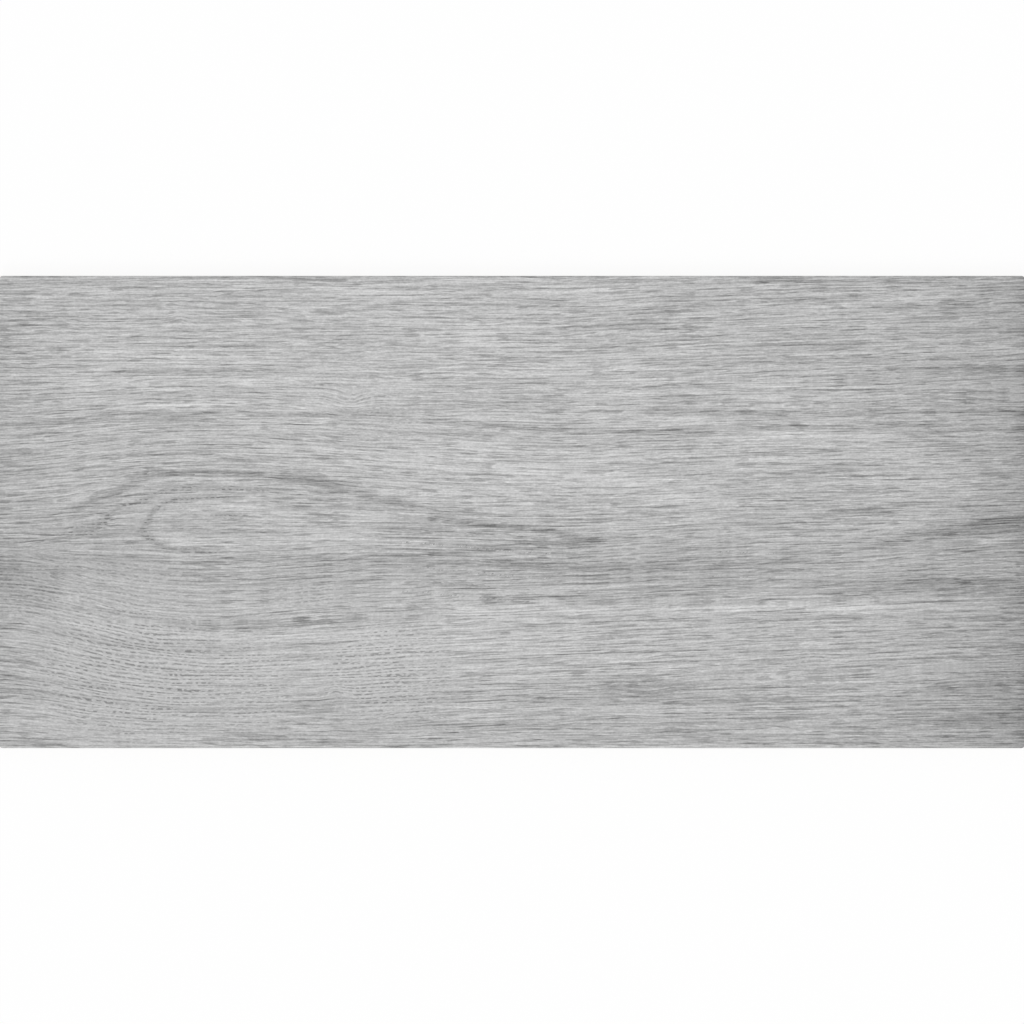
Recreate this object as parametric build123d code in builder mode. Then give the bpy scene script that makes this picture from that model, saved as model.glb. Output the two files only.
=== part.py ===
from build123d import *
import math
import os

# Wood-look wall tile, 23 x 50 cm format: one pressed, glazed and fired piece.
# It lies face up. X runs along the printed grain, Y across it, and the origin is the middle of the
# plane that the back stands on.

# Driving dimensions, in millimetres and degrees
length = 500.0
width = 230.0
thickness = 8.0

# Edge: a straight band under the face, a drafted wall below it, and a bevel on the back edge
band_height = 3.0
side_draft = 2.5
back_bevel = 0.8

# Face: flat, then one shallow arc beside each edge, then a small radius where the glaze turns over
flat_corner_radius = 0.6
cushion_width = 1.4
cushion_drop = 0.28
glaze_radius = 0.4

# Back: a plain rim round a grid of shallow keyed cells, which the adhesive grips
cell_size = 27.0
rib_width = 3.0
least_rim = 8.0
cell_depth = 0.9
cell_draft = 35.0
cell_corner_clip = 2.5

# Worked out from the sizes above
band_bottom = thickness - band_height
corner_radius = flat_corner_radius + cushion_width
side_inset = band_bottom * math.tan(math.radians(side_draft)) + back_bevel
pitch = cell_size + rib_width
cell_columns = math.floor((length - 2 * (side_inset + least_rim) + rib_width) / pitch)
cell_rows = math.floor((width - 2 * (side_inset + least_rim) + rib_width) / pitch)

# Edge section, seen with the tile's outside to the right and its face at height 0: the cushion's arc
# starts level with the face, and the glaze radius is tangent to that arc and to the straight band.
cushion_radius = (cushion_width**2 + cushion_drop**2) / (2 * cushion_drop)
glaze_centre_x = cushion_width - glaze_radius
glaze_centre_y = math.sqrt((cushion_radius - glaze_radius) ** 2 - glaze_centre_x**2) - cushion_radius
turn_angle = math.degrees(math.atan2(glaze_centre_y + cushion_radius, glaze_centre_x))
trim_margin = 1.0

with BuildPart() as tile:
    # Straight band that the tile is gauged by
    with BuildSketch(Plane.XY.offset(band_bottom)) as blank_outline:
        RectangleRounded(length, width, corner_radius)
    extrude(amount=band_height)

    # Drafted wall, narrowing towards the back so that the blank leaves the die
    extrude(blank_outline.sketch, amount=-band_bottom, taper=side_draft)
    back_edges = tile.faces().sort_by(Axis.Z)[0].edges()
    chamfer(back_edges, back_bevel)

    # Cushioned edge, swept round the outline of the flat face from the middle of one long side
    flat_length = length - 2 * cushion_width
    flat_width = width - 2 * cushion_width
    with BuildLine(Plane.XY.offset(thickness)) as flat_outline:
        Polyline(
            (0, -flat_width / 2),
            (flat_length / 2, -flat_width / 2),
            (flat_length / 2, flat_width / 2),
            (-flat_length / 2, flat_width / 2),
            (-flat_length / 2, -flat_width / 2),
            (0, -flat_width / 2),
        )
        corners = flat_outline.vertices().group_by(Axis.X)
        fillet(corners[0] + corners[-1], flat_corner_radius)
    edge_plane = Plane(origin=(0, -flat_width / 2, thickness), x_dir=(0, -1, 0), z_dir=(-1, 0, 0))
    with BuildSketch(edge_plane):
        with BuildLine():
            cushion_arc = CenterArc((0, -cushion_radius), cushion_radius, 90, turn_angle - 90)
            glaze_arc = CenterArc((glaze_centre_x, glaze_centre_y), glaze_radius, turn_angle, -turn_angle)
            Polyline(
                glaze_arc @ 1,
                (cushion_width + trim_margin, glaze_centre_y),
                (cushion_width + trim_margin, trim_margin),
                (0, trim_margin),
                cushion_arc @ 0,
            )
        make_face()
    sweep(path=flat_outline.line, mode=Mode.SUBTRACT)

    # Keyed cells pressed into the back
    with BuildSketch(Plane.XY):
        with GridLocations(pitch, pitch, cell_columns, cell_rows):
            cells = Rectangle(cell_size, cell_size)
        chamfer(cells.vertices(), cell_corner_clip)
    extrude(amount=cell_depth, taper=cell_draft, mode=Mode.SUBTRACT)

tile.part.label = "tile"

os.makedirs("parts", exist_ok=True)
export_step(tile.part, "parts/tile.step")

print("cells in the back:", cell_columns, "x", cell_rows)
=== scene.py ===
import math

import bmesh
import bpy
import numpy as np
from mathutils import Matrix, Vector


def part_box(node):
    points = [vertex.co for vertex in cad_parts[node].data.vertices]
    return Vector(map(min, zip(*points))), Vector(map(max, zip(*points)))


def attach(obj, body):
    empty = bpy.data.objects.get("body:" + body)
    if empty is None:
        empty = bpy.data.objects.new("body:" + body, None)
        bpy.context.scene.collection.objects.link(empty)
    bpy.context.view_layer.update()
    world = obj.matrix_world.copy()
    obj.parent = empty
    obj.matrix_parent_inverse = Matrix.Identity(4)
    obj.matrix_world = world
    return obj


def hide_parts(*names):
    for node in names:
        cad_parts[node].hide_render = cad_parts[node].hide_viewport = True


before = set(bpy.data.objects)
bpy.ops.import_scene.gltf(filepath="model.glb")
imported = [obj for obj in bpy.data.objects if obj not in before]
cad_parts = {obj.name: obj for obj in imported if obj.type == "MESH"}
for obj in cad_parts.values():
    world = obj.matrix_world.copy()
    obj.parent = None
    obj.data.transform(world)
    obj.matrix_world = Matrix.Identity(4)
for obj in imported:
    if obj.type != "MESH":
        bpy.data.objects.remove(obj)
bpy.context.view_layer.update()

# A glazed wall tile with a grey oak print, lying face up. X runs along the grain and Y across it.
# Lengths are in millimetres in the tile's own frame, and the meshes are in metres.
MM = 0.001
LENGTH, WIDTH, THICKNESS = ((high - low) / MM for low, high in zip(*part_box("tile")))

# Edge section, as in the part: flat face, shallow cushion, small glaze radius, straight band
CORNER_RADIUS = 2.0
CUSHION_WIDTH = 1.4
CUSHION_DROP = 0.28
GLAZE_RADIUS = 0.4
BAND_HEIGHT = 3.0
BAND_FOOT_GAP = 0.05

# The photograph shows this much of the tile's length, at the height of its face
VIEW_WIDTH = 498.54
LENS_MM = 200.0
SENSOR_MM = 36.0

# Studio: the floor's half width in metres, its paper and how little shadow it shows, and the lights
FLOOR_HALF = 6.0
PAPER = 0.96
SHADOWLESS_SHARE = 0.9
WORLD_LIGHT = 0.78
LAMP_LIGHT = 0.85
LAMP_SPREAD = 30.0
LAMP_TILT = 42.0
LAMP_TURN = -12.0

# Lower border of the glaze on the band: its height, how far it wanders and how proud of the body it stands,
# then the length, start and share of each of its waves
GLAZE_FOOT = 6.35
GLAZE_WANDER = 0.3
GLAZE_STAND = 0.1
GLAZE_WAVES = ((47.0, 0.4, 0.4), (19.0, 2.1, 0.3), (9.7, 4.0, 0.2), (4.3, 1.0, 0.1))

# Mesh of the face: rows close enough for its relief, and columns closest where the rings turn
ROW_STEP = 0.5
COLUMN_STEP = 4.6
NOSE_START = -222.0
NOSE_END = -150.0
NOSE_COLUMN_STEP = 1.3
CORNER_STEPS = 6
ARC_STEPS = 4
WELD = 0.001
SHARP_ANGLE = 35.0

# Waves pressed into the face: their depth, and how far from the edge they reach it
RELIEF_DEPTH = 0.09
RELIEF_FADE = 4.0

# Back: edges steeper than this are rounded, cells lie this far inside the outline and are this deep, and the
# kiln's rollers leave stripes this far apart
CREASE_ANGLE = 20.0
BACK_SOFTENING = 0.2
CELL_INSET = 5.0
CELL_DEPTH = 0.9
ROLLER_PITCH = 52.0


# The figure of the grain

# How the fibres wander: for each sweep, its height along the tile, and its share at each height
SWEEPS = {
    "over_the_eye": (
        ((-262, -0.6), (-240, 0.4), (-218, 2.2), (-198, 4.4), (-180, 6.2), (-158, 7.3), (-130, 7.2),
         (-100, 6), (-60, 3.8), (-20, 2.2), (20, 1.2), (60, 0.7), (120, 0.3), (180, 0)),
        ((-24, 0), (-14, 0.16), (0, 0.52), (12, 0.86), (22, 1), (37, 0.8), (54, 0.4), (75, 0.1), (100, 0)),
    ),
    "belly": (
        ((-262, 0), (-240, -0.7), (-225, -3), (-210, -6), (-195, -9.2), (-180, -11.8), (-165, -13.3),
         (-150, -14), (-130, -13.8), (-104, -12.4), (-66, -10), (-20, -7.6), (40, -5.5), (100, -3.5),
         (180, -1.5), (262, 0)),
        ((-115, 0), (-108, 0.2), (-98, 0.6), (-86, 0.86), (-70, 1), (-50, 1), (-36, 0.78), (-26, 0.5),
         (-18, 0.2), (-12, 0)),
    ),
    "climb_at_the_right": (
        ((20, 0), (60, 1.3), (100, 3), (140, 4.4), (180, 5.4), (220, 6.5), (262, 7.8)),
        ((-115, 0), (-88, 0.1), (-70, 0.4), (-45, 0.3), (-30, 0.6), (-17, 1.1), (0, 0.85), (35, 0.8),
         (50, 0.5), (70, 0.95), (90, 1), (115, 0.8)),
    ),
}

# Bands across the grain in which the fibres keep their spacing, and length, start and share of the waves in
# their borders. Where the shifts of two bands differ this much, they would repeat the same fibres, so every
# second band is set off.
BAND_ACROSS = 6.0
BAND_WAVES = ((57.0, 0.0, 0.4), (23.0, 1.0, 0.25))
BAND_SWAP = 1.7
BAND_REPEAT = (0.1, 1.2)

# Small knots that the grain dips or rises round: centre, half length, half width, lift
DIMPLES = (
    (-79, 55, 7, 6, -3.2), (-162, 94, 5, 3, 1.6), (-86, -87, 6, 4, 2.0), (66, -86, 9, 4, -1.2),
    (146, -71, 7, 3, 1.0),
)

# Patches where the pores are short dashes: centre, half length, half width, share of dashes
DASH_PATCHES = (
    (-186, -78, 46, 34, 1), (-128, -84, 22, 25, 0.8), (-62, -78, 32, 26, 0.95), (-98, -40, 16, 7, 0.6),
    (-212, -38, 66, 18, 0.55), (-168, -4, 24, 12, 0.3), (-84, 62, 20, 14, 0.5), (-64, 45, 20, 15, 0.5),
    (145, -72, 14, 5, 0.5),
)

# Rings of the figure: a darkness, then points with the line's half width
RINGS = {
    "outer_arch": (23, (-220, 0.8, 1.7), (-212, 2.4, 1.9), (-204, 5.6, 1.9), (-191, 10.4, 1.8),
        (-182, 15, 1.6), (-172, 18.2, 1.3), (-160, 19, 1.2), (-137, 19, 1.2), (-115, 18.6, 1.5),
        (-104, 16.8, 1.8), (-93, 14, 1.8), (-78, 10, 1.5), (-60, 5.4, 1.4), (-40, 1.4, 1), (-14, 0, 0.8)),
    "arch_branch": (9, (-112, 18.4, 0.8), (-98, 17.4, 0.8), (-82, 14.2, 0.9), (-66, 11, 1)),
    "second_arch": (23, (-222, -9, 1.4), (-212, -9, 2), (-204, -8, 2.5), (-198, -3.8, 1.4), (-193.8, 0.8, 1),
        (-188, 3, 0.9), (-180, 5.6, 0.8), (-172.6, 9, 0.8), (-166, 10.8, 0.8), (-150, 11, 0.8),
        (-131, 11.2, 0.7), (-116, 10.6, 0.6)),
    "nose": (26, (-128, 7, 0.7), (-152, 7, 0.7), (-166, 5.3, 0.7), (-172, 2.5, 0.7), (-175.4, -0.6, 0.8),
        (-177.4, -5, 0.9), (-180.4, -9.8, 1.3), (-176, -12.8, 1.2), (-171.6, -16, 1), (-164, -18, 0.9),
        (-150, -19, 0.8), (-138, -19, 0.8)),
    "nose_tail": (12, (-200, -10, 1.2), (-190, -9.4, 1.2), (-181, -9.6, 1.3)),
    "tip_above": (22, (-50, -3, 0.9), (-33, -3.6, 0.9), (-20, -6, 1), (0, -7.4, 1.1), (20, -9.8, 1.2),
        (34, -13, 1.2), (48, -14.6, 1)),
    "tip_below": (24, (-74, -20.6, 0.8), (-36, -20.4, 0.9), (-25, -19.4, 1), (-15, -18, 1.1), (-4, -17, 1.1),
        (10, -15.4, 1.2), (24, -15.2, 1.2), (46, -14, 1)),
    "inner_right": (13, (-119, 4.6, 0.6), (-106, 2.1, 0.6), (-94, -0.7, 0.7), (-84, -3.6, 0.7)),
    "outer_right": (11, (-99, 7, 0.6), (-87, 3.2, 0.7), (-75, 1.5, 0.7), (-58, 0.9, 0.7)),
    "heart_spot": (14, (-66, -9, 1.2), (-46, -9.4, 2), (-28, -8.8, 1.3)),
    "fleck_1": (11, (-165, -0.8, 0.7), (-157, -0.9, 0.8), (-150, -1.1, 0.7)),
    "fleck_2": (17, (-149, -2, 0.8), (-138, -2.1, 1), (-126, -2.4, 0.8)),
    "fleck_3": (10, (-166, -6.5, 1), (-157, -8.4, 1.3), (-148, -10, 1)),
    "fleck_4": (10, (-150, -9.8, 0.7), (-130, -9.2, 0.8), (-114, -9, 0.7)),
    "upper_line": (15, (-243, 41, 1.4), (-215, 44.5, 1.2), (-200, 47.2, 1.1), (-185, 48.2, 1),
        (-165, 46.8, 1), (-150, 48.2, 0.9), (-130, 48.6, 0.9), (-100, 47.4, 1), (-70, 48.2, 1), (-48, 47, 1)),
    "upper_line_right": (15, (-45, 45.4, 1), (-20, 43, 1.2), (10, 41, 1.3), (50, 39.4, 1.2), (100, 40.2, 1.2),
        (140, 41.2, 1.2), (200, 42, 1.3), (262, 41.6, 1.4)),
    "upper_pair": (15, (62, 50, 1.1), (100, 48.4, 1.2), (170, 48.2, 1.2), (262, 48.2, 1.5)),
    "top_line": (13, (-200, 67.8, 0.9), (-175, 69, 0.9), (-150, 68.6, 0.9), (-110, 67, 0.8), (-60, 66, 1.1)),
    "top_left_band": (6, (-262, 93, 1.8), (-225, 94.6, 1.6), (-200, 94.6, 1.3), (-170, 93.2, 1.1),
        (-120, 95.6, 1)),
    "top_right": (9, (60, 73, 1.2), (110, 73, 1.2), (180, 76, 1.2)),
    "top_right_spots": (12, (118, 81.6, 1.1), (150, 80.6, 1.3), (176, 82, 1.1)),
    "right_end_band": (7, (180, 86, 1.6), (215, 88, 2), (262, 89.6, 2.6)),
    "right_end_line": (13, (190, 69, 0.9), (209, 70.4, 1.1), (232, 70, 1), (262, 68, 1.4)),
    "spots_above_pair": (6, (66, 55.6, 1), (86, 56, 1.4), (112, 57, 1.1)),
    "wedge": (19, (164, -18.8, 0.9), (179, -16.2, 1), (190, -13.6, 1.3), (202, -10.8, 1.6), (213, -10.2, 1.6),
        (222, -8, 1.9), (233, -6.8, 2.4), (262, -5.4, 3.6)),
    "wedge_above": (12, (204, -4.8, 0.8), (222, -4.2, 0.9), (242, -3.4, 1.1), (262, -2.2, 1.4)),
    "rising_line": (11, (152, 0.6, 0.7), (176, 1.2, 0.8), (196, 3.4, 0.7), (214, 4.2, 0.8), (240, 4.8, 0.7)),
    "shelf_line": (12, (70, -44.6, 0.8), (92, -44.3, 0.9), (112, -44, 0.8)),
    "shelf_line_2": (13, (142, -40.6, 0.8), (160, -39.7, 0.8), (182, -40, 0.8), (200, -40, 0.7)),
    "shelf_line_3": (12, (172, -44.6, 0.7), (190, -44.2, 0.8), (216, -43.6, 0.7)),
    "short_above_wedge": (16, (150, 0.6, 0.9), (168, 0.2, 1.1), (188, -1.2, 0.9)),
    "before_wedge": (13, (104, -6.4, 0.9), (126, -7.2, 1.1), (146, -9.6, 1.1), (164, -9.6, 0.9)),
    "right_band_1": (13, (-6, -25.4, 1.2), (40, -27, 2), (62, -27, 2.2), (85, -27.6, 1.9), (115, -25.4, 1.8),
        (146, -23, 1.2)),
    "right_band_2": (11, (30, -32, 1.6), (60, -34.6, 3), (84, -35, 2.2), (118, -35, 1.4)),
    "right_band_3": (17, (136, -36, 1.2), (160, -34.6, 1.7), (200, -35.6, 3), (262, -38, 4.6)),
    "patch_foot": (7, (-14, -42.6, 1), (30, -41.8, 1.2), (70, -40.6, 1.3), (104, -40, 1.1)),
    "under_eye": (11, (-262, -21.5, 1.4), (-217, -22.6, 1.1), (-182, -23.6, 1.2), (-155, -25, 1.1),
        (-130, -22.8, 1), (-105, -22.8, 1), (-60, -24.8, 1.2), (4, -24, 1.2)),
    "left_patch": (13, (-300, -34, 6), (-246, -35.4, 6), (-218, -38.4, 2.6)),
    "left_line": (9, (-262, -27.4, 1.7), (-215, -27.8, 1.6), (-190, -28.6, 1.3), (-160, -31.6, 1.3),
        (-120, -32.8, 1.2), (-94, -32, 1.1)),
    "lower_arc": (12, (-238, -43.6, 1), (-210, -47.2, 1), (-180, -51.6, 1), (-160, -55, 1.1),
        (-149, -56.2, 1.1), (-126, -56, 1), (-104, -54.8, 1), (-75, -52.4, 1), (-38, -49.8, 1)),
    "second_arc": (9, (-262, -54.6, 1.9), (-230, -56, 1.9), (-216, -58.8, 1.8), (-204, -62, 1.6),
        (-180, -65.4, 1.6), (-150, -67, 1.6), (-118, -66.4, 1.4)),
    "third_arc": (9, (-262, -80, 1.2), (-225, -82.6, 1.2), (-200, -85, 1.2), (-190, -87, 1)),
    "lowest_line": (8, (-262, -87, 1.6), (-225, -88.6, 1.4), (-200, -91, 1.2), (-170, -94.6, 1.1),
        (-155, -96, 1.1), (-120, -95, 1), (-80, -93, 1), (-50, -91.2, 1.1), (0, -90, 1.2), (60, -91.4, 1.2),
        (124, -91.4, 1.1)),
    "foot_1": (13, (-142, -107.6, 1), (-112, -109.4, 1.3), (-86, -110.8, 1.1)),
    "foot_2": (11, (-56, -102.6, 1), (-10, -103.6, 1.5), (52, -105.6, 1.2)),
    "foot_patch": (6, (42, -84.8, 2.6), (66, -85.4, 3.6), (92, -85, 2.4)),
    "foot_right": (6, (176, -98, 1.4), (215, -100.4, 2.6), (262, -101, 3.6)),
    "light_above_line": (-11, (-196, 50.4, 0.9), (-160, 51.9, 1), (-120, 53, 1.1), (-98, 51.6, 1),
        (-70, 51.4, 0.9)),
    "light_pair": (-8, (10, 46.4, 1), (60, 45.6, 1.1), (100, 44.8, 1), (150, 45.2, 1), (205, 46, 1.1),
        (236, 45.6, 1)),
    "light_shelf": (-12, (-30, -48.4, 1.2), (30, -48, 1.5), (100, -47.2, 1.6), (170, -46.4, 1.6),
        (240, -45.4, 1.6)),
    "light_heart": (-8, (-176, -11, 2.4), (-158, -14.8, 2.4), (-130, -15.8, 2.6), (-100, -12.6, 3.6),
        (-66, -11.6, 2.8)),
    "light_lobe": (-5, (-172, -2, 2), (-150, 2.6, 2.4), (-120, 0.4, 2.6), (-96, -6, 3)),
    "light_arc": (-6, (-232, -51.6, 1.2), (-205, -56.4, 1.3), (-160, -60.6, 1.5), (-100, -60.6, 1.5),
        (-55, -58.6, 1.2)),
    "light_middle": (-8, (-10, 20, 4), (30, 18, 5), (62, 13, 4.4), (92, 6, 3)),
    "light_top": (-8, (-100, 108, 1.6), (-40, 106.6, 2.2), (50, 107.6, 1.8)),
    "light_right": (-8, (96, 36, 2.4), (160, 36.6, 2.8), (188, 36, 2)),
    "light_left": (-6, (-232, 62.6, 2), (-150, 63, 2.4), (-110, 65, 2), (-82, 67, 2), (-58, 68, 1.4)),
    "light_left_2": (-7, (-205, 76, 2), (-160, 74.6, 2.4), (-112, 73, 2)),
    "light_centre": (-6, (-8, 68, 2), (24, 67, 2.8), (60, 66, 2.2)),
    "light_fork": (-8, (60, 3.6, 1), (90, 4.6, 1.3), (116, 4, 1)),
    "light_over_wedge": (-3, (196, 16, 2.4), (216, 13, 3), (238, 11, 2.4)),
}
# A ring's ends fade over this length, and its line is followed in steps of this length
RING_FADE = 12.0
RING_STEP = 0.5
# Distances from a line that are worked out at once
PAIRS_AT_ONCE = 4000000
# Rings that read as chains of short dashes, and the darkness over which the dashes set in
BEADED_RINGS = ("second_arch", "nose", "fleck_1", "fleck_2", "fleck_3")
BEADED_DARKNESS = (4, 13)
# Edge of a patch of dashes, in squares of its half size
PATCH_EDGE = (0.3, 1.6)

# Broad lighter and darker areas: centre, half length, half width, and steps of 255 lighter. The narrow bands
# along the face's four edges, at X −262 and 257 and at Y 117.5 and −116, are painted shade where the cushion
# turns down; the one at Y −116 also offsets the lamp's brighter light on that cushion. The wide one at X 262
# darkens the right end.
BROAD_TONES_AND_EDGE_SHADE = (
    (-60, 88, 120, 30, 4), (-20, 24, 75, 26, 7), (90, 30, 80, 20, 3), (262, 0, 50, 400, -19),
    (257, 0, 9, 400, -17), (262, -100, 90, 34, -12), (-262, 0, 22, 400, -10), (190, 10, 60, 400, -3),
    (40, 28, 60, 22, -5), (-240, 16, 24, 12, -8), (-60, -112, 50, 8, -6), (70, -88, 60, 14, -5),
    (-235, -22, 60, 18, -6), (70, -24, 150, 18, -9), (-40, -64, 90, 12, 4), (-120, -68, 22, 12, 4),
    (90, -109, 110, 9, -7), (-110, -27, 90, 10, -4), (200, 14, 40, 10, 5), (-120, 62, 110, 12, 3),
    (218, -16, 26, 8, -4), (220, 47, 28, 6, 6), (242, 78, 16, 9, 5), (80, 47, 24, 8, -5),
    (-190, -76, 44, 34, -3), (80, -62, 100, 7, 4), (0, 117.5, 4000, 5, -9), (0, -116, 4000, 1.6, -12),
)


def smooth_line(points, x):
    """Heights of a smooth line through the points, level past its two ends."""
    xs, ys = np.array(points, float).T
    slopes = np.gradient(ys, xs)
    slopes[[0, -1]] = 0
    left = np.clip(np.searchsorted(xs, x) - 1, 0, len(xs) - 2)
    span = xs[left + 1] - xs[left]
    t = np.clip((x - xs[left]) / span, 0, 1)
    start, end = ys[left], ys[left + 1]
    rise_start, rise_end = slopes[left] * span, slopes[left + 1] * span
    bend = 2 * (start - end) + rise_start + rise_end
    swing = 3 * (end - start) - 2 * rise_start - rise_end
    return ((bend * t + swing) * t + rise_start) * t + start


def smooth_step(low, high, value):
    t = np.clip((value - low) / (high - low), 0, 1)
    return t * t * (3 - 2 * t)


def squares_out(x, y, centre_x, centre_y, half_length, half_width):
    """Squared distance from the centre of a patch, 1 at its edge."""
    return ((x - centre_x) / half_length) ** 2 + ((y - centre_y) / half_width) ** 2


def band_place(x, y):
    """Number of the band that a point lies in, and the height of that band's middle."""
    wander = sum(share * np.sin(x / wave + start) for wave, start, share in BAND_WAVES)
    number = np.floor(y / BAND_ACROSS + wander)
    return number, (number + 0.5 - wander) * BAND_ACROSS


def sweep_shift(x, y):
    """How far the sweeps lift the fibres."""
    shift = np.zeros_like(x)
    for height_line, share_line in SWEEPS.values():
        shift = shift + smooth_line(height_line, x) * smooth_line(share_line, y)
    return shift


def grain_height(x, y):
    """Which fibre passes a point: the height at which that fibre would run if the grain were straight.

    Each band takes the shift of its middle, so that its fibres aren't stretched apart."""
    number, middle = band_place(x, y)
    shift = sweep_shift(x, middle)
    repeated = sweep_shift(x, middle + BAND_ACROSS / 2) - sweep_shift(x, middle - BAND_ACROSS / 2)
    shift = shift + BAND_SWAP * smooth_step(*BAND_REPEAT, repeated) * (number % 2 * 2 - 1)
    for *patch, lift in DIMPLES:
        shift = shift + lift * np.exp(-squares_out(x, y, *patch))
    return y - shift


def ring_darkness(x, y, names):
    """How much darker the named rings make each point, in steps of 255."""
    darkness = np.zeros_like(x)
    for name in names:
        depth, *points = RINGS[name]
        points = np.array(points, float)
        runs = np.hypot(*np.diff(points[:, :2], axis=0).T)
        marks = np.concatenate([[0], np.cumsum(runs)])
        along = np.arange(0, marks[-1], RING_STEP)
        path_x, path_y = (smooth_line(np.stack([marks, points[:, i]], 1), along) for i in (0, 1))
        half_width = np.interp(along, marks, points[:, 2])
        fade = min(RING_FADE, marks[-1] / 3)
        strength = smooth_step(0, fade, along) * smooth_step(0, fade, marks[-1] - along)
        reach = 3 * half_width.max()
        near = np.flatnonzero((x > path_x.min() - reach) & (x < path_x.max() + reach)
                              & (y > path_y.min() - reach) & (y < path_y.max() + reach))
        for part in np.array_split(near, 1 + len(near) * len(along) // PAIRS_AT_ONCE):
            apart = (x[part, None] - path_x) ** 2 + (y[part, None] - path_y) ** 2
            nearest = apart.argmin(1)
            distance = np.sqrt(apart.min(1)) / half_width[nearest]
            darkness[part] += depth * strength[nearest] * np.exp(-0.5 * distance**2)
    return darkness


def broad_tone_and_edge_shade(x, y):
    """How much lighter the broad areas make each point, and how much darker the painted shade along the
    face's edges, in steps of 255.
    """
    tone = np.zeros_like(x)
    for *patch, lighter in BROAD_TONES_AND_EDGE_SHADE:
        tone += lighter * np.exp(-squares_out(x, y, *patch))
    return tone


def dash_share(x, y):
    """1 where the pores are short dashes, 0 where they are long streaks."""
    share = smooth_step(*BEADED_DARKNESS, ring_darkness(x, y, BEADED_RINGS))
    for *patch, most in DASH_PATCHES:
        share = np.maximum(share, most * (1 - smooth_step(*PATCH_EDGE, squares_out(x, y, *patch))))
    return share


# The tile's mesh

# Place of the clay in the tile's list of materials, after the glaze
FIRED_BODY = 1


def glaze_border(x, y):
    """Height at which the glaze ends on the tile's side, wandering round its outline."""
    wander = 0.0
    for wave, start, share in GLAZE_WAVES:
        wander = wander + share * np.sin(2 * math.pi * (x + 1.31 * y) / wave + start)
    return GLAZE_FOOT + GLAZE_WANDER * wander


def edge_section():
    """Rings from the flat face down to the bare band: distance outward, height, and 1 where the height
    follows the glaze's border."""
    flat_end = CORNER_RADIUS - CUSHION_WIDTH
    cushion_radius = (CUSHION_WIDTH**2 + CUSHION_DROP**2) / (2 * CUSHION_DROP)
    glaze_x = CUSHION_WIDTH - GLAZE_RADIUS
    glaze_z = math.sqrt((cushion_radius - GLAZE_RADIUS) ** 2 - glaze_x**2) - cushion_radius
    turn = math.atan2(glaze_z + cushion_radius, glaze_x)
    section = [(0.0, THICKNESS, 0), (flat_end, THICKNESS, 0)]
    for step in range(1, ARC_STEPS + 1):
        angle = math.pi / 2 + (turn - math.pi / 2) * step / ARC_STEPS
        drop = cushion_radius * (1 - math.sin(angle))
        section.append((flat_end + cushion_radius * math.cos(angle), THICKNESS - drop, 0))
    for step in range(1, ARC_STEPS + 1):
        angle = turn * (1 - step / ARC_STEPS)
        height = THICKNESS + glaze_z + GLAZE_RADIUS * math.sin(angle)
        section.append((flat_end + glaze_x + GLAZE_RADIUS * math.cos(angle), height, 0))
    for inward, up in ((0, 2), (0.3, 0.4), (1, 0)):
        section.append((CORNER_RADIUS - inward * GLAZE_STAND, GLAZE_FOOT + up * GLAZE_STAND, 1))
    return section


def even_lines(start, end, step):
    return np.linspace(start, end, math.ceil((end - start) / step) + 1)


def face_columns():
    """Places along the flat face, between the centres of the corner arcs."""
    half = LENGTH / 2 - CORNER_RADIUS
    before_nose = even_lines(-half, NOSE_START, COLUMN_STEP)[:-1]
    at_nose = even_lines(NOSE_START, NOSE_END, NOSE_COLUMN_STEP)[:-1]
    return np.concatenate([before_nose, at_nose, even_lines(NOSE_END, half, COLUMN_STEP)])


def face_rows():
    half = WIDTH / 2 - CORNER_RADIUS
    return even_lines(-half, half, ROW_STEP)


def outline_places(xs, ys):
    """The face grid's border, anticlockwise: grid column, grid row, and the direction outwards."""
    last_column, last_row = len(xs) - 1, len(ys) - 1
    sides = (
        ([(c, 0) for c in range(last_column + 1)], -90),
        ([(last_column, r) for r in range(last_row + 1)], 0),
        ([(c, last_row) for c in range(last_column, -1, -1)], 90),
        ([(0, r) for r in range(last_row, -1, -1)], 180),
    )
    places = []
    for line, heading in sides:
        places += [(column, row, heading) for column, row in line]
        corner = line[-1]
        turns = [heading + 90 * step / CORNER_STEPS for step in range(1, CORNER_STEPS)]
        places += [(*corner, turn) for turn in turns]
    return places


def add_back(bm, cad_mesh):
    """The part's own back, up to the foot of the straight band, with softened edges. Gives its open rim."""
    bm.from_mesh(cad_mesh)
    bmesh.ops.remove_doubles(bm, verts=bm.verts, dist=WELD * MM)
    cut = (0, 0, (THICKNESS - BAND_HEIGHT) * MM)
    everything = bm.verts[:] + bm.edges[:] + bm.faces[:]
    bmesh.ops.bisect_plane(bm, geom=everything, dist=WELD * MM, plane_co=cut, plane_no=(0, 0, 1),
                           clear_outer=True)
    steep = math.radians(CREASE_ANGLE)
    creases = [edge for edge in bm.edges if edge.is_manifold and edge.calc_face_angle() > steep]
    bmesh.ops.bevel(bm, geom=creases, offset=BACK_SOFTENING * MM, offset_type="OFFSET", segments=2,
                    profile=0.5, affect="EDGES", clamp_overlap=True)
    for face in bm.faces:
        face.material_index = FIRED_BODY
    return [edge for edge in bm.edges if edge.is_boundary]


def add_face(bm, xs, ys):
    """The flat face as a fine grid. Gives its corners, column by column."""
    grid = [[bm.verts.new((x * MM, y * MM, THICKNESS * MM)) for y in ys] for x in xs]
    for left, right in zip(grid, grid[1:]):
        for row in range(len(ys) - 1):
            bm.faces.new((left[row], right[row], right[row + 1], left[row + 1]))
    return grid


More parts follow.
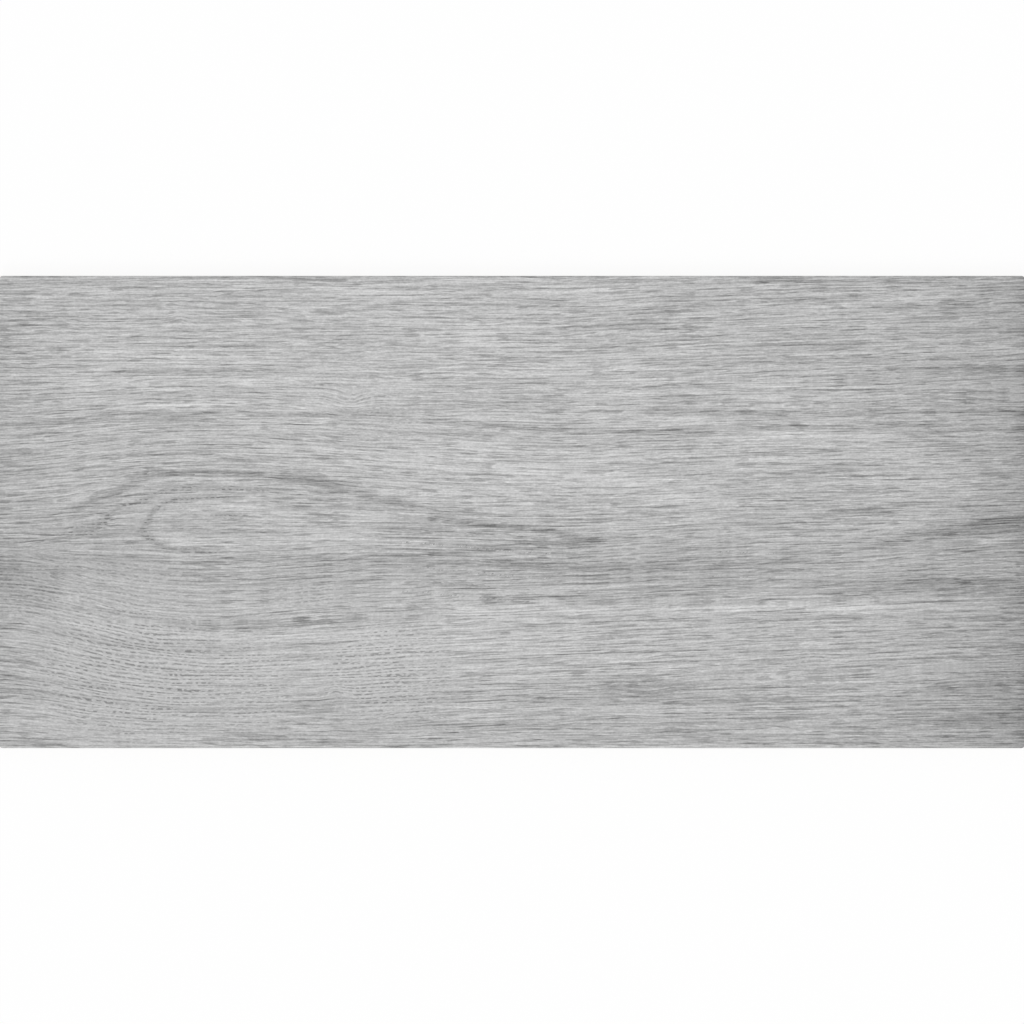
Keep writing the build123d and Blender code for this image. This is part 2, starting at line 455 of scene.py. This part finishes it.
def add_edge(bm, xs, ys, grid):
    """Rings from the face's border down the cushion, the glaze radius and the band. Gives the lowest ring."""
    places = outline_places(xs, ys)
    ring = [grid[column][row] for column, row, _ in places]
    band_foot = (CORNER_RADIUS, THICKNESS - BAND_HEIGHT + BAND_FOOT_GAP, 0)
    for out, height, follows in edge_section()[1:] + [band_foot]:
        next_ring = []
        for column, row, heading in places:
            turn = math.radians(heading)
            x, y = xs[column] + out * math.cos(turn), ys[row] + out * math.sin(turn)
            z = height + follows * (glaze_border(x, y) - GLAZE_FOOT)
            next_ring.append(bm.verts.new((x * MM, y * MM, z * MM)))
        for i in range(len(places)):
            corners = (ring[i - 1], ring[i], next_ring[i], next_ring[i - 1])
            face = bm.faces.new(dict.fromkeys(corners))
            if (out, height, follows) == band_foot:
                face.material_index = FIRED_BODY
        ring = next_ring
    return [bm.edges.get((ring[i - 1], ring[i])) for i in range(len(ring))]


def close_tile_mesh(cad_mesh):
    """The tile as one closed mesh: a fine face, rings down its edge, and the part's own back below."""
    bm = bmesh.new()
    back_rim = add_back(bm, cad_mesh)
    xs, ys = face_columns(), face_rows()
    band_rim = add_edge(bm, xs, ys, add_face(bm, xs, ys))
    joined = bmesh.ops.bridge_loops(bm, edges=back_rim + band_rim)
    for face in joined["faces"]:
        face.material_index = FIRED_BODY
    bmesh.ops.triangulate(bm, faces=[face for face in bm.faces if len(face.verts) > 4])
    bmesh.ops.recalc_face_normals(bm, faces=bm.faces)
    mesh = bpy.data.meshes.new("wood_look_tile")
    bm.to_mesh(mesh)
    bm.free()
    mesh.polygons.foreach_set("use_smooth", [True] * len(mesh.polygons))
    mesh.set_sharp_from_angle(angle=math.radians(SHARP_ANGLE))
    return mesh


# Map for pictures baked onto the tile. For each side: the axis it faces along (0, 1 or 2) and which way, then
# left, bottom, width and height of its place on the map.
MAP_PLACES = {
    "face": (2, 1, 0, 0, 1, 0.62),
    "back": (2, -1, 0, 0.64, 1, 0.28),
    "front_side": (1, -1, 0, 0.93, 1, 0.015),
    "rear_side": (1, 1, 0, 0.955, 1, 0.015),
    "left_side": (0, -1, 0, 0.98, 0.46, 0.015),
    "right_side": (0, 1, 0.5, 0.98, 0.46, 0.015),
}
# Farther in than this, the slopes below belong to the back
SIDE_REACH = 3.0


def values_of(items, name, width=1, kind=float):
    """The named values of these parts of a mesh, one row for each."""
    values = np.empty(len(items) * width, kind)
    items.foreach_get(name, values)
    return values.reshape(-1, width) if width > 1 else values


def lay_out_map(mesh):
    """Lays the face, the back and the four sides apart on one map."""
    normals, middles = (values_of(mesh.polygons, name, 3) for name in ("normal", "center"))
    middles = middles / MM
    steepest = np.abs(normals).argmax(1)
    towards = np.take_along_axis(normals, steepest[:, None], 1)[:, 0]
    inside = (np.abs(middles[:, :2]) < (LENGTH / 2 - SIDE_REACH, WIDTH / 2 - SIDE_REACH)).all(1)
    on_back = inside & (middles[:, 2] < THICKNESS / 2)
    steepest[on_back], towards[on_back] = 2, -1
    sizes = values_of(mesh.polygons, "loop_total", kind=int)
    corners = values_of(mesh.loops, "vertex_index", kind=int)
    places = values_of(mesh.vertices, "co", 3)[corners] / MM
    shares = places / (LENGTH, WIDTH, THICKNESS) + (0.5, 0.5, 0)
    map_places = np.zeros((len(corners), 2))
    for axis, way, left, bottom, width, height in MAP_PLACES.values():
        chosen = np.repeat((steepest == axis) & (towards * way > 0), sizes)
        across = shares[chosen][:, 1 if axis == 0 else 0]
        up = shares[chosen][:, 1 if axis == 2 else 2]
        map_places[chosen] = np.stack([left + width * across, bottom + height * up], 1)
    mesh.uv_layers.new(name="OFBake").data.foreach_set("uv", map_places.ravel().astype(np.float32))


def write_figure(mesh):
    """Stores the figure of the grain on the mesh, for its relief and its print to share."""
    x, y, z = values_of(mesh.vertices, "co", 3).T / MM
    from_edge = np.minimum(LENGTH / 2 - np.abs(x), WIDTH / 2 - np.abs(y))
    on_face = z > THICKNESS - WELD
    in_cells = (from_edge > CELL_INSET) & (z < THICKNESS / 2)
    inner_share = smooth_step(CORNER_RADIUS, CORNER_RADIUS + RELIEF_FADE, from_edge)
    fields = {
        "grain": grain_height(x, y),
        "rings": ring_darkness(x, y, RINGS),
        # broad tones, with the painted shade along the face's edges
        "broad": broad_tone_and_edge_shade(x, y),
        "dashes": dash_share(x, y),
        "above_border": z - glaze_border(x, y),
        "depth_in_cell": np.where(in_cells, z / CELL_DEPTH, 0),
        "hollow": RELIEF_DEPTH * MM * on_face * inner_share,
    }
    for name, values in fields.items():
        mesh.attributes.new(name, "FLOAT", "POINT").data.foreach_set("value", values.astype(np.float32))


# Nodes

# The Mix node's sockets for colours
MIX_SHARE, MIX_FIRST, MIX_SECOND, MIX_RESULT = 0, 6, 7, 2


class Sheet:
    """Places nodes in one tree, of either kind, and wires them as it goes."""

    def __init__(self, tree):
        self.tree = tree

    def place(self, kind, inputs=None, **settings):
        node = self.tree.nodes.new(kind)
        for name, value in settings.items():
            setattr(node, name, value)
        for name, value in (inputs or {}).items():
            self.feed(node.inputs[name], value)
        return node

    def feed(self, socket, value):
        if isinstance(value, bpy.types.NodeSocket):
            self.tree.links.new(value, socket)
        else:
            socket.default_value = value

    def math(self, operation, first, second=0.0, third=0.0):
        node = self.place("ShaderNodeMath", {0: first, 1: second, 2: third}, operation=operation)
        return node.outputs[0]

    def times(self, first, second, plus=None):
        """Product of two values, plus a third if there is one."""
        if plus is None:
            return self.math("MULTIPLY", first, second)
        return self.math("MULTIPLY_ADD", first, second, plus)

    def remap(self, value, from_low, from_high, to_low, to_high, kind="LINEAR"):
        ends = {"From Min": from_low, "From Max": from_high, "To Min": to_low, "To Max": to_high}
        node = self.place("ShaderNodeMapRange", {"Value": value, **ends}, interpolation_type=kind)
        return node.outputs["Result"]

    def rise(self, value, low, high, start=0, end=1):
        """Passes smoothly from the start at the low value to the end at the high one."""
        return self.remap(value, low, high, start, end, "SMOOTHSTEP")

    def noise(self, vector, detail=0.0, roughness=0.5, dimensions="2D"):
        inputs = {"Vector": vector, "Scale": 1.0, "Detail": detail, "Roughness": roughness}
        return self.place("ShaderNodeTexNoise", inputs, noise_dimensions=dimensions).outputs[0]

    def blend(self, share, first, second):
        node = self.place("ShaderNodeMix", {"Factor": share, "A": first, "B": second}, data_type="FLOAT")
        return node.outputs["Result"]

    def mix_colours(self, share, first, second):
        first, second = (c if isinstance(c, bpy.types.NodeSocket) else (*c, 1) for c in (first, second))
        inputs = {MIX_SHARE: share, MIX_FIRST: first, MIX_SECOND: second}
        node = self.place("ShaderNodeMix", inputs, data_type="RGBA")
        return node.outputs[MIX_RESULT]

    def split(self, vector):
        return self.place("ShaderNodeSeparateXYZ", {"Vector": vector}).outputs

    def join(self, place, sizes):
        """A vector of the place's three values, each divided by its size."""
        shares = [self.math("DIVIDE", value, size) for value, size in zip(place, sizes)]
        return self.place("ShaderNodeCombineXYZ", dict(zip("XYZ", shares))).outputs[0]

    def cloud(self, place, *sizes, detail=0.0, roughness=0.5):
        """Noise in space, about 0.5, whose clouds have these sizes along X, Y and Z."""
        return self.noise(self.join(place, sizes), detail, roughness, "3D")

    def field(self, name):
        """A value stored on the mesh."""
        if self.tree.type == "GEOMETRY":
            node = self.place("GeometryNodeInputNamedAttribute", {"Name": name}, data_type="FLOAT")
            return node.outputs["Attribute"]
        return self.place("ShaderNodeAttribute", attribute_name=name).outputs["Fac"]

    def group(self, tree, inputs):
        kind = "GeometryNodeGroup" if self.tree.type == "GEOMETRY" else "ShaderNodeGroup"
        node = self.place(kind, node_tree=tree)
        for name, value in inputs.items():
            self.feed(node.inputs[name], value)
        return node


def new_group(name, kind, inputs, outputs, socket_type="NodeSocketFloat"):
    """An empty node group with sockets of these names, and its sheet, input node and output node."""
    tree = bpy.data.node_groups.new(name, kind)
    for direction, names in (("INPUT", inputs), ("OUTPUT", outputs)):
        for socket_name in names:
            tree.interface.new_socket(socket_name, in_out=direction, socket_type=socket_type)
    sheet = Sheet(tree)
    return tree, sheet, sheet.place("NodeGroupInput"), sheet.place("NodeGroupOutput")


# The print. Each of its patterns ends with its place, which keeps it apart from the others.

# How the fibres waver: length, breadth and reach
LONG_WANDER = (46, 10, 0.7, 117.1)
SHORT_WANDER = (14, 3, 0.2, 127.3)

# Waves pressed into the face: length along the grain, breadth across it, and strength
FINE_WAVES = (70, 1.8, 0.9, 21.7)
BROAD_WAVES = (150, 4, 1.3, 33.9)

# Streaks: length, breadth, and strength in steps of 255
HAIR_LINES = (36, 0.9, 31, 3.1)
SHORT_HAIR_LINES = (4, 0.9, 20, 13.3)
LONG_STREAKS = ((50, 1.35, 14, 15.9), (70, 1.8, 11, 21.7), (150, 4, 4, 33.9), (300, 10, 6, 41.3))
SHORT_STREAKS = ((7, 0.9, 10, 57.1), (2.2, 0.75, 24, 63.5), (1, 0.6, 18, 79.7))
# Share that long streaks and lines lose where the pores are short dashes
LOST_TO_DASHES = 0.8

# Fibre lines of an even breadth: length and spacing, and length of their pieces
FIBRE_LINES = ((130, 2.3, 24, 87.9), (110, 3.1, 14, 97.3))
FIBRE_PIECE_BREADTH = 1.1
# How far beside a point the slope of their pattern is taken, and the least slope that counts
FIBRE_TAP = 0.2
FIBRE_LEAST_SLOPE = 0.07
# Thin dark and light lines between them: length, breadth, and length of their pieces
THIN_LINES = (80, 0.85, 12, 107.7)
THIN_PIECE_SHARE = 0.45
# Place of the pieces' pattern, counted from that of the lines
PIECE_PLACE = 3.3

# Pores: length and breadth
LONG_PORES = (44, 1, 142.6)
PORE_PIECES = (9, 0.85, 137.9)
PORE_PIECE_SHARE = 0.55
# Rows of dashes: length and breadth of their waver, of their pieces, and of the patches with fewer of them
DASH_ROW_SPACING = 1.9
DASH_ROW_WAVER = 7.0
DASH_WAVER = (30, 3, 149.3)
DASH_PIECES = (2.3, 1.15, 163.9)
DASH_THINNING = (13, 5, 181.9)

# What each step of a ring's darkness adds to the patterns of lines, long pores and dashes
LINES_IN_RINGS = 0.002
PORES_IN_RINGS = 0.0022
DASHES_IN_RINGS = 0.012

# Tones in steps of 255: the ground, then the depths of lines and pores and the light rims beside them
GROUND_TONE = 185.2
RING_SHARE = 0.95
FIBRE_DEPTH = 19.0
FIBRE_RIM = 8.0
PORE_DEPTH = 24.0
PORE_RIM = 7.0

# Relief of the print: how far pores and lines sink, and how far hair lines rise for each step, of 1
PORE_SINK = 0.6
LINE_SINK = 0.45
HAIR_RISE = 0.02


class Grain:
    """Grain patterns in one node tree, laid along the fibres."""

    def __init__(self, sheet, along, grain):
        self.sheet, self.along, self.grain = sheet, along, grain

    def pattern(self, length, breadth, place, beside=0.0):
        """Noise drawn out along the fibres, about 0.5, or its value a little beside each point."""
        vector = self.sheet.place("ShaderNodeCombineXYZ", {
            "X": self.sheet.times(self.along, 1 / length, place),
            "Y": self.sheet.times(self.grain, 1 / breadth, place * 1.7 + beside / breadth),
        })
        return self.sheet.noise(vector.outputs[0])

    def streak(self, length, breadth, strength, place):
        """Lighter and darker streaks, about 0."""
        return self.sheet.times(self.pattern(length, breadth, place), strength, -strength / 2)

    def wander(self, length, breadth, reach, place):
        """Moves the fibres sideways, so that they waver."""
        self.grain = self.sheet.math("ADD", self.grain, self.streak(length, breadth, reach, place))


def grain_waves_group():
    """Slow waves of the pressed surface along the grain, from 0 to 1."""
    inputs, outputs = ("along", "grain"), ("waves",)
    tree, sheet, given, result = new_group("grain_waves", "GeometryNodeTree", inputs, outputs)
    grain = Grain(sheet, given.outputs["along"], given.outputs["grain"])
    waves = sheet.math("ADD", grain.streak(*FINE_WAVES), grain.streak(*BROAD_WAVES))
    waves = sheet.math("ADD", waves, 0.5)
    sheet.feed(result.inputs["waves"], sheet.remap(waves, 0.0, 1.0, 0.0, 1.0))
    return tree


class OakPrint(Grain):
    """The oak print as it builds up in one node tree. Its tone is in steps of 255."""

    def __init__(self, sheet, given):
        super().__init__(sheet, given["along"], given["grain"])
        self.rings, self.dashes = given["rings"], given["dashes"]
        self.wander(*LONG_WANDER)
        self.wander(*SHORT_WANDER)
        self.long_share = sheet.times(self.dashes, -LOST_TO_DASHES, 1.0)
        ground = sheet.times(self.rings, -RING_SHARE, GROUND_TONE)
        # Adds the broad tones, with the painted shade along the face's edges
        self.tone = sheet.math("ADD", ground, given["broad"])
        self.lines = 0.0

    def add_tone(self, mask, steps):
        self.tone = self.sheet.times(mask, steps, self.tone)

    def add_streaks(self):
        """Lighter and darker streaks, with the hair lines among them."""
        long_hair, short_hair = self.streak(*HAIR_LINES), self.streak(*SHORT_HAIR_LINES)
        self.hair_lines = self.sheet.blend(self.dashes, long_hair, short_hair)
        self.add_tone(self.hair_lines, 1.0)
        for streak in LONG_STREAKS:
            self.add_tone(self.streak(*streak), self.long_share)
        for streak in SHORT_STREAKS:
            self.add_tone(self.streak(*streak), 1.0)

    def add_fibre_lines(self, length, spacing, piece, place):
        """Dark lines of an even breadth where the pattern passes 0.5, with light rims, broken into pieces."""
        sheet = self.sheet
        line = self.pattern(length, spacing, place)
        rise = sheet.math("SUBTRACT", self.pattern(length, spacing, place, FIBRE_TAP), line)
        slope = sheet.math("MAXIMUM", sheet.math("ABSOLUTE", rise), FIBRE_LEAST_SLOPE * FIBRE_TAP)
        away = sheet.math("ABSOLUTE", sheet.math("SUBTRACT", line, 0.5))
        away = sheet.math("DIVIDE", sheet.times(away, FIBRE_TAP), slope)
        breaks = self.pattern(piece, FIBRE_PIECE_BREADTH, place + PIECE_PLACE)
        breaks = sheet.times(self.rings, LINES_IN_RINGS, breaks)
        share = sheet.times(sheet.rise(breaks, 0.45, 0.57), self.long_share)
        core = sheet.times(sheet.rise(away, 0.38, 0.12), share)
        rim = sheet.times(sheet.rise(away, 0.3, 0.5), sheet.rise(away, 1.0, 0.6))
        self.add_tone(core, -FIBRE_DEPTH)
        self.add_tone(sheet.times(rim, share), FIBRE_RIM)
        self.lines = sheet.math("MAXIMUM", self.lines, core)

    def add_thin_lines(self, length, breadth, piece, place):
        """Thin dark lines, and light ones between them."""
        sheet = self.sheet
        pieces = self.pattern(piece, breadth, place + PIECE_PLACE)
        thin = sheet.blend(THIN_PIECE_SHARE, self.pattern(length, breadth, place), pieces)
        thin = sheet.times(self.rings, LINES_IN_RINGS, thin)
        dark = sheet.times(sheet.rise(thin, 0.56, 0.66), self.long_share)
        light = sheet.times(sheet.rise(thin, 0.45, 0.36), self.long_share)
        self.add_tone(dark, -FIBRE_DEPTH)
        self.add_tone(light, FIBRE_RIM)
        self.lines = sheet.math("MAXIMUM", self.lines, dark)

    def long_pores(self):
        """Long pores broken into pieces, and the light rims beside them."""
        sheet = self.sheet
        pores = sheet.blend(PORE_PIECE_SHARE, self.pattern(*LONG_PORES), self.pattern(*PORE_PIECES))
        pores = sheet.times(self.rings, PORES_IN_RINGS, pores)
        rims = sheet.times(sheet.rise(pores, 0.46, 0.54), sheet.rise(pores, 0.6, 0.55))
        return sheet.rise(pores, 0.56, 0.65), rims

    def dash_pores(self):
        """Rows of short dashes, and the light strips between the rows."""
        sheet = self.sheet
        waver = sheet.times(self.pattern(*DASH_WAVER), DASH_ROW_WAVER)
        turns = sheet.times(self.grain, 2 * math.pi / DASH_ROW_SPACING, waver)
        rows = sheet.times(self.rings, DASHES_IN_RINGS, sheet.math("SINE", turns))
        pieces = sheet.rise(self.pattern(*DASH_PIECES), 0.4, 0.53, 0, 1.9)
        thinning = sheet.remap(self.pattern(*DASH_THINNING), 0.34, 0.54, 0.5, 1)
        dashes = sheet.times(sheet.rise(rows, 0.1, 0.9), sheet.times(pieces, thinning))
        return dashes, sheet.rise(rows, -1.0, 0.0, 1.5, 0)

    def add_pores(self):
        """Long pores, and dashes in the patches where the rings are cut across."""
        (long_pores, long_rims), (dash_pores, dash_rims) = self.long_pores(), self.dash_pores()
        self.pores = self.sheet.blend(self.dashes, long_pores, dash_pores)
        self.add_tone(self.pores, -PORE_DEPTH)
        self.add_tone(self.sheet.blend(self.dashes, long_rims, dash_rims), PORE_RIM)

    def relief(self):
        """Height of the print's surface: 1 on the ground, and less in its lines and pores."""
        height = self.sheet.times(self.lines, -LINE_SINK, 1.0)
        height = self.sheet.times(self.pores, -PORE_SINK, height)
        return self.sheet.times(self.hair_lines, HAIR_RISE, height)


def oak_print_group():
    """Tone of the oak print, with painted shade along the face's edges, its open pores, and the height of its
    fine relief.
    """
    inputs, outputs = ("along", "grain", "rings", "broad", "dashes"), ("tone", "pores", "relief")
    tree, sheet, given, result = new_group("oak_print", "ShaderNodeTree", inputs, outputs)
    oak = OakPrint(sheet, given.outputs)
    oak.add_streaks()
    for lines in FIBRE_LINES:
        oak.add_fibre_lines(*lines)
    oak.add_thin_lines(*THIN_LINES)
    oak.add_pores()
    sheet.feed(result.inputs["tone"], sheet.math("DIVIDE", oak.tone, 255))
    sheet.feed(result.inputs["pores"], oak.pores)
    sheet.feed(result.inputs["relief"], oak.relief())
    return tree


# Glaze and clay

# The print has faded out this far below the cushion
PRINT_FADE = 0.35
GAMMA = 2.2

# Heights of the fine relief in print and clay
PRINT_RELIEF = 0.03
CLAY_RELIEF = 0.08

# Colours of the fired body
CLAY_DARK = (0.47, 0.365, 0.27)
CLAY_LIGHT = (0.66, 0.55, 0.435)
CELL_CLAY = (0.56, 0.42, 0.31)
KILN_WASH = (0.79, 0.77, 0.73)
ROLLER_MARK = (0.36, 0.29, 0.23)
SLIP = (0.8, 0.79, 0.77)

# Specks in it: spacing, least and most radius, and share of the places with one, then strength and colour
IRON = ((3.1, 0.12, 0.34, 0.3), 0.65, (0.2, 0.11, 0.065))
GROG = ((2.3, 0.2, 0.5, 0.35), 0.45, (0.8, 0.74, 0.66))
PIN_HOLES = ((1.9, 0.08, 0.2, 0.45), 0.75, (0.2, 0.15, 0.11))


def new_material(name):
    """An empty material, and the sheet of its nodes."""
    material = bpy.data.materials.new(name)
    material.use_nodes = True
    material.node_tree.nodes.clear()
    return material, Sheet(material.node_tree)


def place_on_tile(sheet):
    """Each point's X, Y and Z in millimetres."""
    place = sheet.place("ShaderNodeTexCoord").outputs["Object"]
    scaled = sheet.place("ShaderNodeVectorMath", {"Vector": place, "Scale": 1 / MM}, operation="SCALE")
    return sheet.split(scaled.outputs["Vector"])


def add_surface(sheet, colour, roughness, height, relief):
    """Ends the material with its shader, whose heights of 0 and 1 lie this relief apart."""
    bump = sheet.place("ShaderNodeBump", {"Height": height, "Distance": relief * MM, "Strength": 1.0})
    inputs = {"Base Color": colour, "Roughness": roughness, "Normal": bump.outputs["Normal"]}
    shader = sheet.place("ShaderNodeBsdfPrincipled", inputs)
    sheet.place("ShaderNodeOutputMaterial", {"Surface": shader.outputs["BSDF"]})


def printed_glaze():
    """Satin glaze over the printed grain, plain where it turns down over the edge."""
    material, sheet = new_material("printed_glaze")
    place = place_on_tile(sheet)
    fields = {name: sheet.field(name) for name in ("grain", "rings", "broad", "dashes")}
    oak = sheet.group(oak_print_group(), {"along": place["X"], **fields})

    # The printer doesn't reach the side: there the plain glaze shows, thinner towards its border
    print_end = THICKNESS - CUSHION_DROP
    unprinted = sheet.rise(place["Z"], print_end, print_end - PRINT_FADE)
    runs = sheet.cloud(place, 2.6, 2.6, 9.0, detail=2)
    thinning = sheet.remap(sheet.field("above_border"), 0, 0.3, -0.08, 0)
    plain = sheet.math("ADD", sheet.remap(runs, 0.3, 0.7, 0.74, 0.81), thinning)
    tone = sheet.blend(unprinted, oak.outputs["tone"], plain)
    grey = sheet.place("ShaderNodeCombineColor", {"Red": tone, "Green": tone, "Blue": tone})
    ink = sheet.place("ShaderNodeGamma", {"Color": grey.outputs["Color"], "Gamma": GAMMA})
    print_roughness = sheet.remap(oak.outputs["pores"], 0, 1, 0.42, 0.6)
    roughness = sheet.blend(unprinted, print_roughness, sheet.remap(runs, 0.3, 0.7, 0.28, 0.4))
    height = sheet.blend(unprinted, oak.outputs["relief"], runs)
    add_surface(sheet, ink.outputs["Color"], roughness, height, PRINT_RELIEF)
    return material


def plain_clay(sheet, place, grains, scratches, on_side):
    """Clouded and grained clay, scratched down the sides by the die and browner deep in the cells."""
    clouds = sheet.cloud(place, 28, 28, 28, detail=3)
    shade = sheet.times(clouds, 0.9, sheet.times(grains, 0.5))
    scratched = sheet.math("SUBTRACT", scratches, 0.5)
    shade = sheet.times(scratched, sheet.times(on_side, 0.7), shade)
    clay = sheet.mix_colours(sheet.remap(shade, 0.45, 0.95, 0, 1), CLAY_DARK, CLAY_LIGHT)
    return sheet.mix_colours(sheet.times(sheet.field("depth_in_cell"), 0.35), clay, CELL_CLAY)


def add_specks(sheet, place, clay, pattern, strength, colour):
    """Round specks in the clay. Gives the clay with them, and 1 inside each."""
    spacing, least_size, most_size, share = pattern
    inputs = {"Vector": sheet.join(place, (spacing, spacing, spacing)), "Scale": 1.0}
    cells = sheet.place("ShaderNodeTexVoronoi", inputs, voronoi_dimensions="3D")
    draw = sheet.place("ShaderNodeSeparateColor", {"Color": cells.outputs["Color"]}).outputs["Red"]
    size = sheet.remap(draw, 1 - share, 1, least_size / spacing, most_size / spacing)
    there = sheet.math("GREATER_THAN", draw, 1 - share)
    specks = sheet.times(there, sheet.math("LESS_THAN", cells.outputs["Distance"], size))
    return sheet.mix_colours(sheet.times(specks, strength), clay, colour), specks


def add_kiln_marks(sheet, place, clay, grains):
    """Kiln wash and the rollers' stripes, on the rim and ribs alone."""
    carried = sheet.remap(place["Z"], 0.04, 0.22, 1, 0)
    smear = sheet.cloud(place, 46, 5, 5, detail=3)
    patches = sheet.cloud(place, 60, 45, 60, detail=2)
    wash = sheet.times(patches, 0.5, sheet.times(grains, 0.2))
    wash = sheet.times(smear, 0.5, wash)
    wash = sheet.times(sheet.rise(wash, 0.52, 0.68, 0.08, 0.85), carried)
    clay = sheet.mix_colours(wash, clay, KILN_WASH)
    turns = sheet.times(place["X"], 2 * math.pi / ROLLER_PITCH)
    stripes = sheet.math("SINE", sheet.times(smear, 1.6, turns))
    stripes = sheet.times(sheet.rise(stripes, 0.8, 1, 0, 0.4), carried)
    return sheet.mix_colours(stripes, clay, ROLLER_MARK)


def add_slip(sheet, place, clay, on_side):
    """White slip in a thin line below the glaze, and a mist of glaze drops below that."""
    below_glaze = sheet.times(sheet.field("above_border"), -1.0)
    foot = sheet.remap(sheet.cloud(place, 2.4, 2.4, 2.4, detail=2), 0.3, 0.7, 0.1, 0.5)
    slip = sheet.rise(sheet.math("SUBTRACT", below_glaze, foot), 0.06, -0.06)
    fewer = sheet.remap(below_glaze, 0.3, 2.5, 0.02, 0.3)
    mist = sheet.math("SUBTRACT", sheet.cloud(place, 0.45, 0.45, 0.6), fewer)
    mist = sheet.times(sheet.rise(mist, 0.58, 0.64, 0, 0.6), on_side)
    return sheet.mix_colours(sheet.math("MAXIMUM", slip, mist), clay, SLIP)


def fired_body():
    """Bare fired clay, with the traces of glazing and firing."""
    material, sheet = new_material("fired_body")
    place = place_on_tile(sheet)
    grains = sheet.cloud(place, 0.8, 0.8, 0.8, detail=2, roughness=0.6)
    scratches = sheet.cloud(place, 0.5, 0.5, 12, detail=1)
    on_side = sheet.remap(place["Z"], 1.2, 1.8, 0, 1)
    clay = plain_clay(sheet, place, grains, scratches, on_side)
    for pattern in (IRON, GROG, PIN_HOLES):
        clay, pin_holes = add_specks(sheet, place, clay, *pattern)
    clay = add_kiln_marks(sheet, place, clay, grains)
    clay = add_slip(sheet, place, clay, on_side)
    height = sheet.times(pin_holes, -1.0, grains)
    height = sheet.times(sheet.times(scratches, on_side), 0.6, height)
    add_surface(sheet, clay, sheet.remap(grains, 0.3, 0.7, 0.8, 0.95), height, CLAY_RELIEF)
    return material


def press_waves(tile):
    """Sinks the face along slow waves of the grain, never above its plane."""
    sockets = ("Geometry",)
    tree, sheet, given, result = new_group("pressed_waves", "GeometryNodeTree", sockets, sockets,
                                           "NodeSocketGeometry")
    place = sheet.place("GeometryNodeInputPosition").outputs["Position"]
    along = sheet.math("DIVIDE", sheet.split(place)["X"], MM)
    waves = sheet.group(grain_waves_group(), {"along": along, "grain": sheet.field("grain")})
    below_plane = sheet.math("SUBTRACT", waves.outputs["waves"], 1.0)
    depth = sheet.times(below_plane, sheet.field("hollow"))
    offset = sheet.place("ShaderNodeCombineXYZ", {"Z": depth}).outputs[0]
    sunk = sheet.place("GeometryNodeSetPosition", {"Geometry": given.outputs["Geometry"], "Offset": offset})
    sheet.feed(result.inputs["Geometry"], sunk.outputs["Geometry"])
    tile.modifiers.new("pressed_waves", "NODES").node_group = tree


def add_object(name, data):
    new = bpy.data.objects.new(name, data)
    bpy.context.collection.objects.link(new)
    return new


def build_tile():
    mesh = close_tile_mesh(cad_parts["tile"].data)
    write_figure(mesh)
    lay_out_map(mesh)
    tile = add_object("wood_look_tile", mesh)
    press_waves(tile)
    mesh.materials.append(printed_glaze())
    mesh.materials.append(fired_body())
    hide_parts("tile")
    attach(tile, "root")


# Camera, floor and light

def set_camera():
    """Looks straight down, from where the tile's length just fills the picture."""
    camera_data = bpy.data.cameras.new("camera")
    camera_data.lens = LENS_MM
    camera_data.sensor_width = SENSOR_MM
    camera = add_object("camera", camera_data)
    camera.location = (0, 0, (THICKNESS + VIEW_WIDTH * LENS_MM / SENSOR_MM) * MM)
    bpy.context.scene.camera = camera


def lay_floor():
    """Wide white floor that the tile lies on."""
    half = FLOOR_HALF
    corners = [(-half, -half, 0), (half, -half, 0), (half, half, 0), (-half, half, 0)]
    mesh = bpy.data.meshes.new("floor")
    mesh.from_pydata(corners, [], [(0, 1, 2, 3)])
    mesh.materials.append(white_floor())
    floor = add_object("floor", mesh)


def white_floor():
    """White paper that keeps a faint shadow of the tile."""
    material, sheet = new_material("white_floor")
    paper = sheet.place("ShaderNodeBsdfDiffuse", {"Color": (PAPER, PAPER, PAPER, 1)})
    glow = sheet.place("ShaderNodeEmission", {"Color": (1, 1, 1, 1), "Strength": 1.0})
    share = sheet.times(seen_directly(sheet), SHADOWLESS_SHARE)
    mixed = sheet.place("ShaderNodeMixShader", {"Fac": share, 1: paper.outputs[0], 2: glow.outputs[0]})
    sheet.place("ShaderNodeOutputMaterial", {"Surface": mixed.outputs[0]})
    return material


def seen_directly(sheet):
    """1 where the camera looks straight, by a reflection or through glass, and 0 where light is gathered."""
    path = sheet.place("ShaderNodeLightPath").outputs
    seen = sheet.math("MAXIMUM", path["Is Camera Ray"], path["Is Glossy Ray"])
    return sheet.math("MAXIMUM", seen, path["Is Transmission Ray"])


def light_studio():
    """Even white surroundings, and one broad soft lamp."""
    world = bpy.data.worlds.new("studio")
    world.use_nodes = True
    world.node_tree.nodes.clear()
    sheet = Sheet(world.node_tree)
    strength = sheet.blend(seen_directly(sheet), WORLD_LIGHT, 1.0)
    white = sheet.place("ShaderNodeBackground", {"Color": (1, 1, 1, 1), "Strength": strength})
    sheet.place("ShaderNodeOutputWorld", {"Surface": white.outputs["Background"]})
    bpy.context.scene.world = world
    lamp_data = bpy.data.lights.new("soft_lamp", "SUN")
    lamp_data.energy = LAMP_LIGHT
    lamp_data.angle = math.radians(LAMP_SPREAD)
    lamp = add_object("soft_lamp", lamp_data)
    lamp.rotation_euler = (math.radians(LAMP_TILT), 0, math.radians(LAMP_TURN))


set_camera()
lay_floor()
light_studio()
build_tile()
bpy.context.scene.view_settings.view_transform = "Standard"
